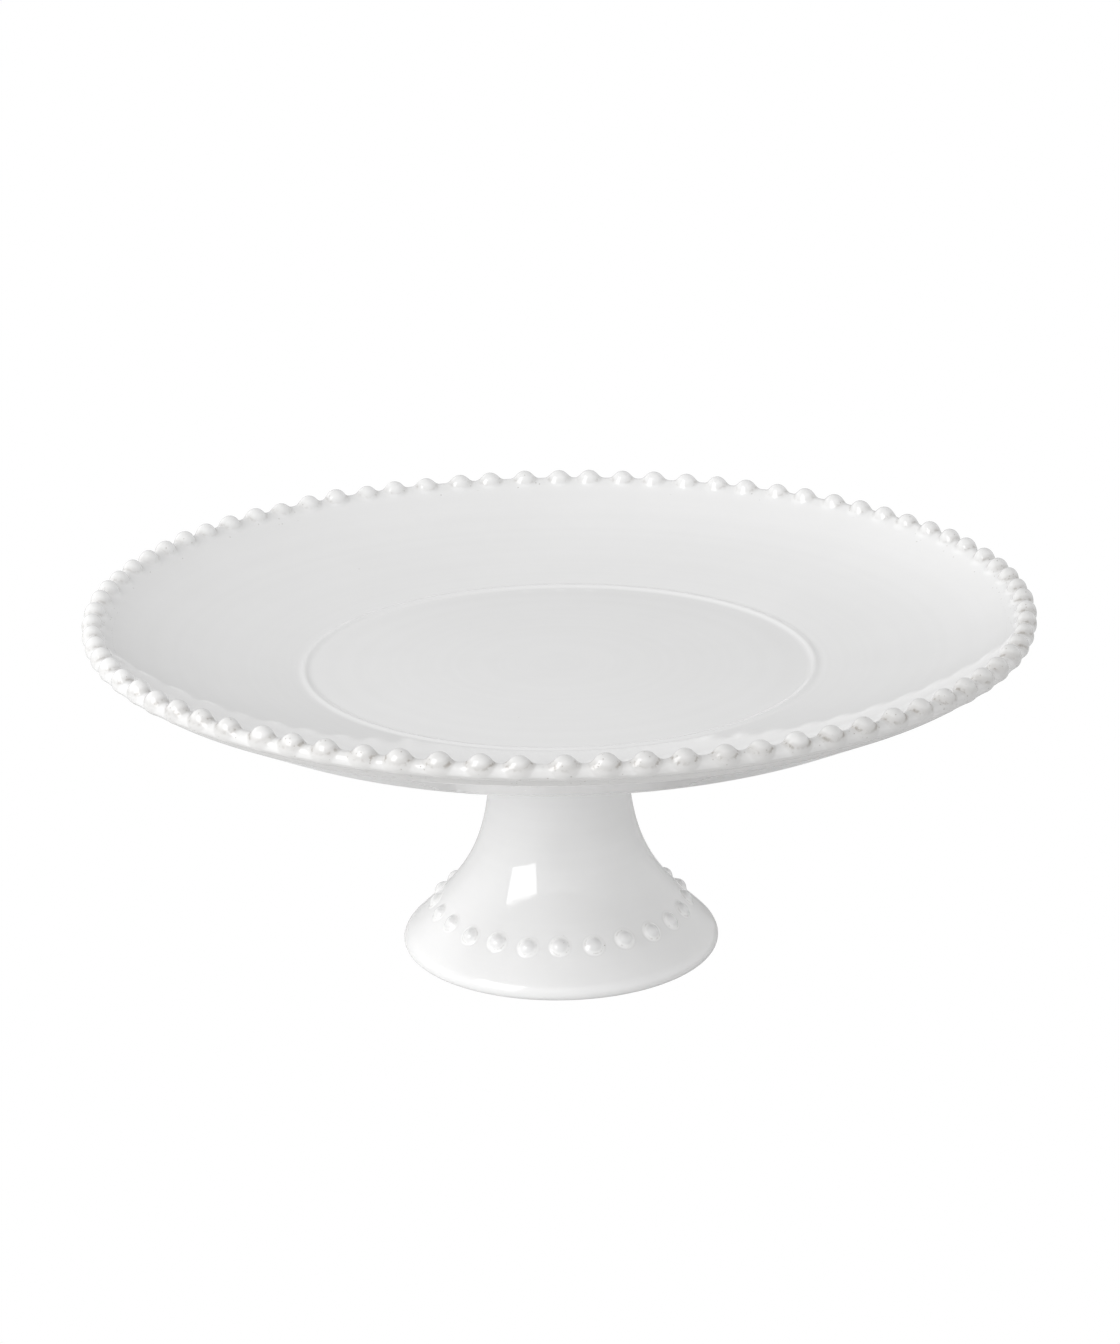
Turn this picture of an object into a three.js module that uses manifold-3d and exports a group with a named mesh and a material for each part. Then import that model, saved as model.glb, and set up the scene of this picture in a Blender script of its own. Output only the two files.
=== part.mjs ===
// Cake stand: a coupe plate with a pearl rim on a hollow flared pedestal, all in glazed stoneware.
// Millimetres, +Z up. The origin is the centre of the circle that the foot ring stands on.

import * as THREE from 'three';
import { mergeVertices } from 'three/addons/utils/BufferGeometryUtils.js';
import Module from 'manifold-3d';

const wasm = await Module();
wasm.setup();

// Rim: oval pearls sit half sunk in the top of a round lip.
const RIM_PEARL_COUNT = 80;
const RIM_PEARL_HALF_SIZES = [3.4, 3.9, 3.5]; // outward, along the rim and up
const PEARL_CIRCLE_RADIUS = 163.9;
const PEARL_CENTRE_HEIGHT = 127.6;
const LIP_RADIUS = 2.7;
const LIP_DROP = 2.2; // from the pearl centres down to the centre of the lip

// Plate: a flat well inside a low ridge, and a wall that curves up to the lip.
const WELL_RADIUS = 90.4;
const WELL_HEIGHT = 106.2;
const RIDGE_HEIGHT = 0.5;
const RIDGE_HALF_WIDTH = 1.2;
const WALL_FOOT_SLOPE = degrees(8.5); // of the wall's upper face where it leaves the ridge
const WALL_TOP_SLOPE = degrees(35); // of the same face where it meets the lip
const WALL_FOOT_PULL = 26; // lengths of that face's two Bezier handles
const WALL_TOP_PULL = 23;
const UNDERSIDE_SLOPE = degrees(26.5); // of the outer face below the shoulder
const SHOULDER_SLOPE = degrees(60); // of the same face at the crease under the lip
const SHOULDER_RADIUS = 10;
const CREASE_ANGLE = degrees(-105); // round the lip from the outward direction
const UNDERSIDE_HEIGHT = 99;
const UNDERSIDE_BEND = 78; // radius of the bend from the flat underside to the wall
const RIM_JOINT_RADIUS = 158; // where the rim is joined to the wall

// Pedestal: a hollow flare with a waist near the top and a round foot edge.
const FOOT_EDGE_RADIUS = 2.5;
const FOOT_EDGE_CIRCLE = 54.6;
const FLARE_START = degrees(52); // how far the foot edge turns before the flare begins
const FLARE_PULL = point(37, 23.8);
const WAIST_RADIUS = 25;
const WAIST_HEIGHT = 72;
const WAIST_PULL = 36.6; // length of the flare's upper Bezier handle
const COLLAR_RADIUS = 29;
const COLLAR_HEIGHT = 91.5;
const PEDESTAL_WALL = 6;
const FOOT_RING_WIDTH = 7;

// Foot pearls: sprigged on to the flare in one ring.
const FOOT_PEARL_COUNT = 24;
const FOOT_PEARL_RADIUS = 3.4;
const FOOT_PEARL_HEIGHT = 16;
const FOOT_PEARL_STANDOUT = 1.8; // from the flare out to the top of a pearl

// Luting coil: the roll of clay that fillets the pedestal to the plate.
const COIL_SIZE = 7;
const COIL_EDGE = 0.8;

// The foot is set on by hand, a little to one side of the plate's centre.
const FOOT_SHIFT = -0.9;

// Neighbours keep this gap, and round pieces this many sides.
const FIT_GAP = 0.3;
const PLATE_SIDES = RIM_PEARL_COUNT;
const PEDESTAL_SIDES = 2 * FOOT_PEARL_COUNT;
const PEARL_SIDES = 8;
const PEARL_BANDS = 5;

const GLAZE = { color: 0xe9e8e5, roughness: 0.12, metalness: 0 };

function degrees(angle) {
  return (angle * Math.PI) / 180;
}

function point(r, z) {
  return new THREE.Vector2(r, z);
}

// Evenly spaced numbers, both ends included.
function spaced(from, to, steps) {
  return Array.from({ length: steps + 1 }, (_, i) => from + ((to - from) * i) / steps);
}

// The point on a circle at an angle measured from the outward direction towards +Z.
function onCircle(centre, radius, angle) {
  return point(centre.x + radius * Math.cos(angle), centre.y + radius * Math.sin(angle));
}

function arc(centre, radius, from, to, steps) {
  return spaced(from, to, steps).map((angle) => onCircle(centre, radius, angle));
}

// How far along a curve, from 0 to 1, it first reaches a value of x or y.
function reach(curve, coordinate, value) {
  return spaced(0, 1, 2000).find((t) => curve.getPoint(t)[coordinate] >= value);
}

// Turns an outline of (radius, height) points about Z.
function turned(outline, sides) {
  const geometry = new THREE.LatheGeometry(outline, sides);
  geometry.rotateX(Math.PI / 2);
  return geometry;
}

function named(name, geometry) {
  const mesh = new THREE.Mesh(geometry, new THREE.MeshStandardMaterial(GLAZE));
  mesh.name = name;
  return mesh;
}

function toSolid(geometry) {
  const bare = geometry.clone();
  bare.deleteAttribute('normal');
  bare.deleteAttribute('uv');
  const welded = mergeVertices(bare, 1e-4);
  const vertProperties = new Float32Array(welded.attributes.position.array);
  const triVerts = new Uint32Array(welded.index.array);
  return new wasm.Manifold(new wasm.Mesh({ numProp: 3, vertProperties, triVerts }));
}

function toGeometry(solid) {
  const { vertProperties, triVerts } = solid.getMesh();
  const geometry = new THREE.BufferGeometry();
  geometry.setAttribute('position', new THREE.BufferAttribute(vertProperties, 3));
  geometry.setIndex(new THREE.BufferAttribute(triVerts, 1));
  geometry.computeVertexNormals();
  return geometry;
}

// A ball, or an oval with its own half-size along each axis.
function oval(halfX, halfY = halfX, halfZ = halfX) {
  const geometry = new THREE.SphereGeometry(1, PEARL_SIDES, PEARL_BANDS);
  return toSolid(geometry.rotateX(Math.PI / 2).scale(halfX, halfY, halfZ));
}

// The lip's circle, and the two points where the faces of the wall meet it.
const lipCentre = point(PEARL_CIRCLE_RADIUS, PEARL_CENTRE_HEIGHT - LIP_DROP);
const lipInside = onCircle(lipCentre, LIP_RADIUS, Math.PI / 2 + WALL_TOP_SLOPE);
const crease = onCircle(lipCentre, LIP_RADIUS, CREASE_ANGLE);

// The wall's upper face is one curve from the foot of the ridge to the lip.
const wallFoot = point(WELL_RADIUS + RIDGE_HALF_WIDTH, WELL_HEIGHT + RIDGE_HEIGHT / 2);
const wall = new THREE.CubicBezierCurve(
  wallFoot,
  onCircle(wallFoot, WALL_FOOT_PULL, WALL_FOOT_SLOPE),
  onCircle(lipInside, -WALL_TOP_PULL, WALL_TOP_SLOPE),
  lipInside,
);

// The underside is flat, bends up into a cone, and turns up over a round shoulder to the crease under the lip.
const shoulderCentre = onCircle(crease, -SHOULDER_RADIUS, SHOULDER_SLOPE - Math.PI / 2);
const coneTop = onCircle(shoulderCentre, SHOULDER_RADIUS, UNDERSIDE_SLOPE - Math.PI / 2);
const coneFoot = coneTop.x - (coneTop.y - UNDERSIDE_HEIGHT) / Math.tan(UNDERSIDE_SLOPE);
const bendStart = coneFoot - UNDERSIDE_BEND * Math.tan(UNDERSIDE_SLOPE / 2);
const bendEnd = bendStart + UNDERSIDE_BEND * Math.sin(UNDERSIDE_SLOPE);

function undersideHeight(r) {
  if (r <= bendStart) return UNDERSIDE_HEIGHT;
  if (r >= bendEnd) return coneTop.y - (coneTop.x - r) * Math.tan(UNDERSIDE_SLOPE);
  return UNDERSIDE_HEIGHT + UNDERSIDE_BEND - Math.sqrt(UNDERSIDE_BEND ** 2 - (r - bendStart) ** 2);
}

function plate() {
  const edge = RIM_JOINT_RADIUS - FIT_GAP / 2;
  const outline = [
    point(0, UNDERSIDE_HEIGHT),
    ...spaced(bendStart, bendEnd, 5).map((r) => point(r, undersideHeight(r))),
    point(edge, undersideHeight(edge)),
    ...spaced(reach(wall, 'x', edge), 0, 8).map((t) => wall.getPoint(t)),
    point(WELL_RADIUS, WELL_HEIGHT + RIDGE_HEIGHT),
    point(WELL_RADIUS - RIDGE_HALF_WIDTH, WELL_HEIGHT),
    point(0, WELL_HEIGHT),
  ];
  return named('plate', turned(outline, PLATE_SIDES));
}

// The lip strip and all of its pearls are one body, as they leave the mould.
function pearlRim() {
  const joint = RIM_JOINT_RADIUS + FIT_GAP / 2;
  const outline = [
    point(joint, undersideHeight(joint)),
    ...arc(shoulderCentre, SHOULDER_RADIUS, UNDERSIDE_SLOPE - Math.PI / 2, SHOULDER_SLOPE - Math.PI / 2, 2),
    ...arc(lipCentre, LIP_RADIUS, CREASE_ANGLE, Math.PI / 2 + WALL_TOP_SLOPE, 5).slice(1),
    wall.getPoint(reach(wall, 'x', joint)),
    point(joint, undersideHeight(joint)),
  ];
  const strip = toSolid(turned(outline, PLATE_SIDES));
  const pearl = oval(...RIM_PEARL_HALF_SIZES).translate([PEARL_CIRCLE_RADIUS, 0, PEARL_CENTRE_HEIGHT]);
  const pearls = spaced(0, 360, RIM_PEARL_COUNT).slice(1).map((turn) => pearl.rotate([0, 0, turn]));
  return named('pearl_rim', toGeometry(wasm.Manifold.union([strip, ...pearls])));
}

// The pedestal's outer face above the foot edge: a long flare to the waist, then out to the collar.
const footEdgeCentre = point(FOOT_EDGE_CIRCLE, FOOT_EDGE_RADIUS);
const flareStart = onCircle(footEdgeCentre, FOOT_EDGE_RADIUS, FLARE_START);
const collarTop = UNDERSIDE_HEIGHT - FIT_GAP;

const flare = new THREE.CubicBezierCurve(
  flareStart,
  FLARE_PULL,
  point(WAIST_RADIUS, WAIST_HEIGHT - WAIST_PULL),
  point(WAIST_RADIUS, WAIST_HEIGHT),
);

const neck = new THREE.CubicBezierCurve(
  point(WAIST_RADIUS, WAIST_HEIGHT),
  point(WAIST_RADIUS, (WAIST_HEIGHT + COLLAR_HEIGHT) / 2),
  point(COLLAR_RADIUS, (WAIST_HEIGHT + COLLAR_HEIGHT) / 2),
  point(COLLAR_RADIUS, COLLAR_HEIGHT),
);

// Points on a curve that climbs, moved off it to its outer side; a negative shift goes inwards.
function shifted(curve, shift, from, to, steps) {
  return spaced(from, to, steps).map((t) => {
    const along = curve.getTangent(t);
    return curve.getPoint(t).add(point(along.y, -along.x).multiplyScalar(shift));
  });
}

function pedestal() {
  const innerFoot = FOOT_EDGE_CIRCLE - FOOT_RING_WIDTH;
  const innerFlareStart = 0.1; // skips the thick foot ring
  const outline = [
    point(innerFoot, 0),
    ...arc(footEdgeCentre, FOOT_EDGE_RADIUS, -Math.PI / 2, FLARE_START, 3),
    ...shifted(flare, 0, 0, 1, 7).slice(1),
    ...shifted(neck, 0, 0, 1, 3).slice(1),
    point(COLLAR_RADIUS, collarTop),
    point(COLLAR_RADIUS - PEDESTAL_WALL, collarTop),
    ...shifted(neck, -PEDESTAL_WALL, 1, 0, 2),
    ...shifted(flare, -PEDESTAL_WALL, 1, innerFlareStart, 5).slice(1),
    point(innerFoot, 0),
  ];
  return named('pedestal', turned(outline, PEDESTAL_SIDES));
}

function lutingCoil() {
  const inside = COLLAR_RADIUS + FIT_GAP;
  const fillet = COIL_SIZE - COIL_EDGE;
  const outline = [
    point(inside, collarTop - COIL_SIZE),
    ...arc(point(inside + COIL_SIZE, collarTop - COIL_SIZE), fillet, Math.PI, Math.PI / 2, 3),
    point(inside + COIL_SIZE, collarTop),
    point(inside, collarTop),
    point(inside, collarTop - COIL_SIZE),
  ];
  return named('luting_coil', turned(outline, PEDESTAL_SIDES));
}

// A pearl whose back is cut to the flare, in the XZ plane; its copies are turned about Z.
function footPearlGeometry() {
  const seat = toSolid(turned([
    point(0, 0),
    point(FOOT_EDGE_CIRCLE, 0),
    ...shifted(flare, FIT_GAP, 0, 1, 7),
    point(0, WAIST_HEIGHT),
  ], PEDESTAL_SIDES));
  const t = reach(flare, 'y', FOOT_PEARL_HEIGHT);
  const centre = shifted(flare, FOOT_PEARL_STANDOUT - FOOT_PEARL_RADIUS, t, t, 1)[0];
  const pearl = oval(FOOT_PEARL_RADIUS).translate([centre.x, 0, centre.y]);
  return toGeometry(pearl.subtract(seat));
}

function footPearls() {
  const geometry = footPearlGeometry();
  return spaced(0, 2 * Math.PI, FOOT_PEARL_COUNT).slice(1).map((turn, i) => {
    const pearl = named(`foot_pearl_${String(i + 1).padStart(2, '0')}`, geometry);
    pearl.rotation.z = turn;
    return pearl;
  });
}

const foot = new THREE.Group();
foot.position.x = FOOT_SHIFT;
foot.add(pedestal(), lutingCoil(), ...footPearls());

const cakeStand = new THREE.Group();
cakeStand.add(plate(), pearlRim(), foot);

export default cakeStand;
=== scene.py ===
# %% [markdown]
# # A pearl-rimmed cake stand in glazed stoneware
# The stand is a coupe plate on a hollow flared pedestal. Pearls run round the lip of the plate and round
# the flare of the foot. It is all one off-white glaze, so the whole look is in the shape of each piece and
# in how the glaze thins, pools and pits. Each piece is a surface worked out with numpy on a grid, around
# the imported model's frame.

# %% Load the frame
import math

import bpy
import numpy as np
from mathutils import Matrix, Vector


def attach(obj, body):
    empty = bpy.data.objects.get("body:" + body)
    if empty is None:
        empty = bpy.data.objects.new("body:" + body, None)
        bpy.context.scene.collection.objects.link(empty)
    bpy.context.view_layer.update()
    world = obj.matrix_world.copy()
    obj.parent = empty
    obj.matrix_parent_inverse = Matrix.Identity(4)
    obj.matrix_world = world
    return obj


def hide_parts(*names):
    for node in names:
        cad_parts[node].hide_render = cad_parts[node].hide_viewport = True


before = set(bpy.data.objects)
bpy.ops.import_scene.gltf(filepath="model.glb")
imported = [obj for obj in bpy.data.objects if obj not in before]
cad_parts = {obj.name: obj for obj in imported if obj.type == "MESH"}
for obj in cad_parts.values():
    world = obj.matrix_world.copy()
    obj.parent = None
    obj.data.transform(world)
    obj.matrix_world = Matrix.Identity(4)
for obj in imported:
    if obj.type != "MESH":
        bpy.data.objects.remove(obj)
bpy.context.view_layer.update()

MM = 0.001

# %% [markdown]
# ## The camera
# The camera stands a little over a metre in front of the stand and looks down at it, as someone at the
# table's end does. A long lens keeps the plate's ellipse calm. The camera leans by a little under a degree,
# as one set up by hand does. Its axes are built from the pitch and the lean, which keeps both readable.

# %% Camera
camera_place = np.array([0.0, -1233.3, 521.8]) * MM
pitch, lean = math.radians(18.77), math.radians(-0.8)

ahead = np.array([0.0, math.cos(pitch), -math.sin(pitch)])
right = np.array([1.0, 0.0, 0.0])
above = np.cross(right, ahead)
camera_right = math.cos(lean) * right + math.sin(lean) * above
camera_up = math.cos(lean) * above - math.sin(lean) * right

lens = bpy.data.cameras.new("table_end")
lens.lens, lens.sensor_width = 98.2, 36.0
camera = bpy.data.objects.new("table_end", lens)
bpy.context.scene.collection.objects.link(camera)
turned_frame = np.eye(4)
turned_frame[:3] = np.stack([camera_right, camera_up, -ahead, camera_place], 1)
camera.matrix_world = Matrix(turned_frame)
bpy.context.scene.camera = camera
print("lens, mm:", lens.lens)

# %% [markdown]
# ## From a grid of points to a mesh
# Every piece is a grid: rows run along a profile, and columns run round the axis or round a pearl. The
# columns always join up. The rows join up too where the profile is a closed loop, and otherwise each end
# shrinks to one point, a pole. These helpers turn such a grid into a mesh, so each piece only has to say
# where its points are. They could be Spin and Bridge tools instead, but whole arrays are quicker and leave
# no doubled points.

# %% Grid helpers
def grid_faces(rows, columns, loop_rows):
    """The faces of a grid. A quad joins each point to the next one along its row and its column. A pole is
    one point, so there a fan of triangles joins it to the row beside it."""
    across = np.arange(columns)
    beside = (across + 1) % columns
    if loop_rows:
        fans = np.empty((0, 3), int)
        first = np.arange(rows)[:, None] * columns
        second = (first + columns) % (rows * columns)
    else:
        last_row, last_pole = 1 + (rows - 3) * columns, 1 + (rows - 2) * columns
        fans = np.concatenate([
            np.stack([0 * across, 1 + beside, 1 + across], -1),
            np.stack([0 * across + last_pole, last_row + across, last_row + beside], -1),
        ])
        first = 1 + np.arange(rows - 3)[:, None] * columns
        second = first + columns
    quads = np.stack([first + across, first + beside, second + beside, second + across], -1).reshape(-1, 4)
    return fans, quads


def grid_values(values, loop_rows):
    """The values of a grid as one list, with a single value for each pole."""
    listed = values.reshape(-1, *values.shape[2:])
    columns = values.shape[1]
    if loop_rows:
        return listed
    return np.concatenate([listed[:1], listed[columns:-columns], listed[-1:]])


# %% [markdown]
# ## From faces to an object
# The points and faces go into the mesh in one call each, which is far quicker than adding them one by one.
# Every piece rides on the body root, because nothing on the stand moves. Faces that meet at a flat enough
# angle are shaded smooth, and the few true corners, such as those hidden in the joints, stay sharp.

# %% Mesh helper
SHARP_DEGREES = 40


def mesh_from_grid(name, points, loop_rows, crease_values=None):
    """A closed mesh of points[row, column], in mm. With loop_rows the last row joins the first, and without
    it the first and last rows are poles. pools is a value for each point, kept as the attribute
    crease_nearness."""
    fans, quads = grid_faces(*points.shape[:2], loop_rows)
    corners = grid_values(points, loop_rows)
    loops = np.concatenate([fans.ravel(), quads.ravel()])
    starts = np.concatenate([3 * np.arange(len(fans)), 3 * len(fans) + 4 * np.arange(len(quads))])
    mesh = bpy.data.meshes.new(name)
    mesh.vertices.add(len(corners))
    mesh.loops.add(len(loops))
    mesh.polygons.add(len(starts))
    mesh.vertices.foreach_set("co", (corners * MM).astype(np.float32).ravel())
    mesh.loops.foreach_set("vertex_index", loops)
    mesh.polygons.foreach_set("loop_start", starts)
    mesh.update(calc_edges=True)
    mesh.shade_smooth()
    mesh.set_sharp_from_angle(angle=math.radians(SHARP_DEGREES))
    if crease_values is not None:
        nearness_attribute = mesh.attributes.new("crease_nearness", "FLOAT", "POINT")
        nearness_attribute.data.foreach_set("value", grid_values(crease_values, loop_rows).astype(np.float32))
    piece = bpy.data.objects.new(name, mesh)
    bpy.context.scene.collection.objects.link(piece)
    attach(piece, "root")
    print(f"{name}: {len(mesh.polygons)} faces")
    return piece


def turned(profile, columns, centre=0.0):
    """Points of a profile [row, (radius, height)] carried round a vertical axis at evenly spaced angles, in
    mm. centre is the x of that axis."""
    angle = np.linspace(0, 2 * math.pi, columns, endpoint=False)
    radius, height = profile[:, :1], profile[:, 1:]
    return np.stack([centre + radius * np.cos(angle), radius * np.sin(angle), height + 0 * angle], -1)


# %% [markdown]
# ## Profiles
# A potter's profile is a run of arcs, straight lines and easy curves. A few helpers make those as arrays of
# (radius, height) in millimetres. A Bezier curve is used where a wall changes its slope slowly, because its
# two handles set the slopes at its ends, and nothing between them can ripple.

# %% Profile helpers
def arc(centre, radius, start, stop, steps):
    """Points on a circle from one angle to another, in degrees from outward towards up."""
    angle = np.radians(np.linspace(start, stop, steps))
    return np.stack([centre[0] + radius * np.cos(angle), centre[1] + radius * np.sin(angle)], -1)


def line(start, stop, steps):
    """Evenly spaced points from start to stop."""
    return np.linspace(start, stop, steps)


def bezier(p0, p1, p2, p3, steps):
    """Cubic Bezier: the four points weighted by (1-t)^3, 3t(1-t)^2, 3t^2(1-t) and t^3."""
    t = np.linspace(0, 1, steps)[:, None]
    p0, p1, p2, p3 = map(np.array, (p0, p1, p2, p3))
    return (1 - t) ** 3 * p0 + 3 * t * (1 - t) ** 2 * p1 + 3 * t**2 * (1 - t) * p2 + t**3 * p3


def outward(profile):
    """Unit vectors square to the profile, on its right-hand side as it runs."""
    along = np.gradient(profile, axis=0)
    along /= np.linalg.norm(along, axis=1, keepdims=True)
    return np.stack([along[:, 1], -along[:, 0]], -1)


def slope_from(start, degrees, length):
    """The point a length away from start in a direction given in degrees."""
    angle = math.radians(degrees)
    return np.array(start) + length * np.array([math.cos(angle), math.sin(angle)])


# %% [markdown]
# ## The plate's line
# The driving sizes are the pearl circle and the round lip under it. The upper face leaves the lip steeply
# and eases into an almost flat wall near the well, so it is one Bezier curve. Below the lip the outer face
# starts at a crease, turns over a round shoulder, runs in as a cone and bends into a flat underside. The
# plate and the rim strip share this line, and meet at a joint a few millimetres in from the lip.

# %% Plate line
PEARL_CIRCLE, PEARL_HEIGHT = 163.9, 127.6
JOINT = 158.0
lip_drop, lip_radius = 2.2, 2.7
lip_centre = np.array([PEARL_CIRCLE, PEARL_HEIGHT - lip_drop])

well_radius, well_height = 90.4, 106.2
ridge_height, ridge_half_width, wall_step = 0.55, 1.2, 0.25
wall_slope, wall_foot_slope = 35.0, 8.5
wall_top = slope_from(lip_centre, 90 + wall_slope, lip_radius)
wall_foot = np.array([well_radius + ridge_half_width, well_height + wall_step])
foot_handle, top_handle = slope_from(wall_foot, wall_foot_slope, 26), slope_from(wall_top, wall_slope, -23)
wall = bezier(wall_foot, foot_handle, top_handle, wall_top, 400)

underside_height, bend_radius, shoulder_radius = 99.0, 78.0, 10.0
crease_angle, shoulder_slope, cone_slope = -105.0, 60.0, 26.5
crease = slope_from(lip_centre, crease_angle, lip_radius)
shoulder_centre = slope_from(crease, shoulder_slope - 90, -shoulder_radius)
cone_top = slope_from(shoulder_centre, cone_slope - 90, shoulder_radius)
cone_rise = math.tan(math.radians(cone_slope))
cone_meets_flat = cone_top[0] - (cone_top[1] - underside_height) / cone_rise
bend_start = cone_meets_flat - bend_radius * math.tan(math.radians(cone_slope / 2))
bend = arc((bend_start, underside_height + bend_radius), bend_radius, -90, cone_slope - 90, 40)

joint_inside = wall[np.argmax(wall[:, 0] > JOINT - 1)]
joint_outside = cone_top - (cone_top[0] - JOINT) * np.array([1, cone_rise])
print("lip top, mm:", lip_centre[1] + lip_radius, " underside bends from radius", round(bend_start, 1))

# %% [markdown]
# ## The plate
# The plate is a solid of revolution, so its profile is all there is to work out: the flat underside, the
# bend, the cone, the hidden joint, the wall, the low ridge round the well, and the well's floor. The ridge
# is a small bell curve on the floor's height. Rows stand closer together near the joint and the ridge,
# where the light turns fast.

# %% Plate
ridge_spread, ridge_rows_end = 1.5, 84


def plate_profile():
    """Underside, cone, joint face, wall, ridge and well, from the axis out and back to the axis. The ridge
    adds ridge_height times e to the power of minus the square of the distance from it over ridge_spread."""
    kept_wall = wall[wall[:, 0] <= joint_inside[0]][::-1]
    by_joint, between, by_ridge = np.arange(3), np.arange(5, len(kept_wall) - 30, 6), np.arange(-30, 0, 3)
    kept_wall = kept_wall[np.concatenate([by_joint, between, by_ridge])]
    ridge_rows, floor_rows = line(wall_foot[0] - 0.15, ridge_rows_end, 26), line(ridge_rows_end - 2, 0, 30)
    floor_radius = np.concatenate([ridge_rows, floor_rows])
    floor = np.stack([floor_radius, well_height + 0 * floor_radius], -1)
    inner_face = np.concatenate([kept_wall, floor])
    from_ridge = inner_face[:, 0] - well_radius
    rise = wall_step * np.clip((from_ridge + ridge_half_width) / (2 * ridge_half_width), 0, 1)
    inner_face[:, 1] = np.maximum(inner_face[:, 1], well_height + rise)
    inner_face[:, 1] += ridge_height * np.exp(-((from_ridge / ridge_spread) ** 2))
    return np.concatenate([
        line((0, underside_height), (bend_start, underside_height), 24)[:-1],
        bend[:-1],
        line(bend[-1], joint_outside - [0.3, 0.15], 20),
        line(joint_outside, joint_inside, 4)[:-1],
        inner_face,
    ])


plate = mesh_from_grid("glazed_plate", turned(plate_profile(), 288), loop_rows=False)
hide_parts("plate")

# %% [markdown]
# ## The line of the rim strip
# The strip has the plate's own line outside the joint, and the lip. Where the lip meets the shoulder below
# it, glaze rounds the crease. Its round is the small circle that touches both from outside, so its centre
# is found where two larger circles cross, and it runs into both with no kink.

# %% Rim profile
def fillet_centre(first, first_radius, second, second_radius, fillet_radius):
    """Centre of the circle that touches two circles from outside: it lies at radius + fillet_radius from
    each."""
    apart = second - first
    distance, far, near = np.linalg.norm(apart), first_radius + fillet_radius, second_radius + fillet_radius
    along = (far**2 - near**2 + distance**2) / (2 * distance)
    aside = np.array([apart[1], -apart[0]]) / distance
    return first + apart * along / distance + aside * math.sqrt(far**2 - along**2)


def direction(start, stop):
    """Angle in degrees of the way from one point to another."""
    return math.degrees(math.atan2(*(stop - start)[::-1]))


crease_radius = 0.8
crease_centre = fillet_centre(shoulder_centre, shoulder_radius, lip_centre, lip_radius, crease_radius)
shoulder_end, lip_start = direction(shoulder_centre, crease_centre), direction(lip_centre, crease_centre)


def rim_profile():
    """The strip's profile with no pearls, from the joint under the lip round to the joint inside it, and
    its normals."""
    inside = wall[wall[:, 0] > joint_inside[0]]
    inside = inside[np.linspace(len(inside) - 1, 0, 10).astype(int)]
    profile = np.concatenate([
        line(joint_outside, cone_top, 4)[:-1],
        arc(shoulder_centre, shoulder_radius, cone_slope - 90, shoulder_end, 7),
        arc(crease_centre, crease_radius, shoulder_end + 180, lip_start + 180, 6)[1:-1],
        arc(lip_centre, lip_radius, lip_start, 90 + wall_slope, 30),
        inside[1:],
        [joint_inside],
    ])
    return profile, outward(profile)


print("rim strip:", len(rim_profile()[0]), "points in its profile")

# %% [markdown]
# ## Two shapes that run into each other
# Each pearl is an oval ball half sunk in the lip, and the glaze fills the crease where they meet. Separate
# balls would leave hard creases, and a boolean join would leave ragged ones. So lip and pearls are one
# surface, found point by point: from each point of the lip's own profile, go straight out until a smooth
# minimum of two distances is nought, one to the lip and one to the nearest pearl. The smooth minimum rounds
# the crease by itself, and how much the two distances blend also says how near the crease is, which the
# glaze uses for its crease lines and painted shade.

# %% Smooth minimum
def smooth_minimum(a, b, reach):
    """The smaller of a and b, less reach/4 times the square of how nearly they are equal. Also that
    nearness."""
    near = np.clip(1 - np.abs(a - b) / reach, 0, 1)
    return np.minimum(a, b) - near**2 * reach / 4, near


def oval_distance(parts, half_sizes):
    """Distance to an oval, nearly: k (k - 1) / g, where k is the length of the point over the half sizes,
    and g the length of the point over their squares. It is exact on the surface."""
    over = [part / half for part, half in zip(parts, half_sizes)]
    length = np.sqrt(sum(part**2 for part in over)) + 1e-9
    slope = np.sqrt(sum((part / half) ** 2 for part, half in zip(over, half_sizes))) + 1e-9
    return length * (length - 1) / slope


def way_out(distance, shape, furthest):
    """How far out the surface lies at each point: the span from nought to furthest is halved 30 times, and
    each time the half is kept where the distance turns from less than nought to more."""
    low = np.zeros(shape)
    high = low + furthest
    for _ in range(30):
        middle = (low + high) / 2
        inside = distance(middle)[0] < 0
        low, high = np.where(inside, middle, low), np.where(inside, high, middle)
    return low


# %% [markdown]
# ## The pearl rim
# The lip swells a little under each pearl, where the ball was pressed into it. Each pearl is rolled by
# hand, so its place, height and size are a little off, by a seeded draw. The columns of the grid stand
# closer together at the sides of a pearl than on its top, because that is where the surface turns.

# %% Rim pearls
RIM_PEARLS, RIM_PEARL_SIZES = 80, (3.4, 3.8, 3.5)
draw = np.random.default_rng(80)
pearl_turn = np.radians(draw.normal(0.1, 0.16, RIM_PEARLS))
pearl_size = 1 + draw.normal(0, 0.03, RIM_PEARLS)
pearl_lift = draw.normal(0, 0.12, RIM_PEARLS)


def rim_columns():
    """The angle of each column, the number of the pearl nearest to it, and its turn from that pearl. From
    one pearl to the next, s runs from 0 to 1 in even steps, and a column stands at s + crowding sin(4 pi s)
    / (4 pi)."""
    columns, crowding = 22, 0.3
    step = np.arange(columns) / columns
    warped = step + crowding * np.sin(4 * math.pi * step) / (4 * math.pi)
    angle = ((np.arange(RIM_PEARLS)[:, None] + warped) * 2 * math.pi / RIM_PEARLS).ravel()
    nearest = np.rint(angle * RIM_PEARLS / (2 * math.pi)).astype(int)
    pearl = nearest % RIM_PEARLS
    return angle, pearl, angle - nearest * 2 * math.pi / RIM_PEARLS - pearl_turn[pearl]


print("rim pearls, mm long:", round(2 * RIM_PEARL_SIZES[1] * pearl_size.min(), 1), "to",
      round(2 * RIM_PEARL_SIZES[1] * pearl_size.max(), 1))

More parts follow.
